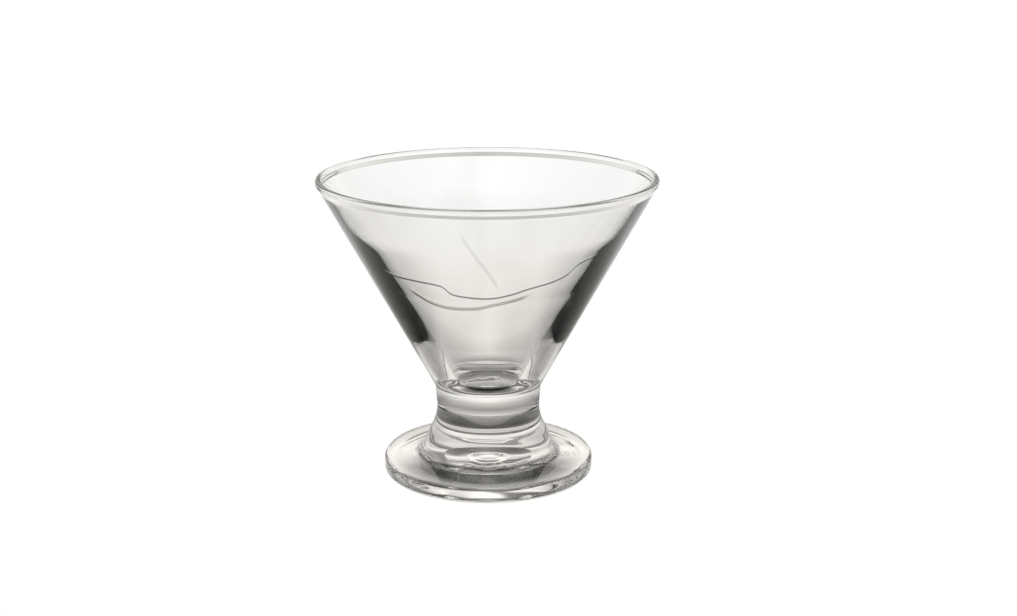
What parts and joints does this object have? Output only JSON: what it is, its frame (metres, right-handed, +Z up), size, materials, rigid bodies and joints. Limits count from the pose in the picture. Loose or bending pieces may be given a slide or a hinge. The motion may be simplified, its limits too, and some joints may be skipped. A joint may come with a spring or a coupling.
{
  "type": "ice cream glass",
  "caption": "Footed ice cream glass with a wide conical bowl on a short solid neck and a round foot, pressed in clear glass.",
  "frame": {"origin": "middle of the foot, on the plane that the glass stands on", "axes": "+Z up along the glass's axis of symmetry; X and Y level, with no preferred direction"},
  "size_m": [0.1, 0.1, 0.09],
  "materials": {
    "clear_glass": "clear, smooth and fire-polished"
  },
  "bodies": {
    "root": {"ice_cream_glass": "clear_glass"}
  },
  "joints": []
}
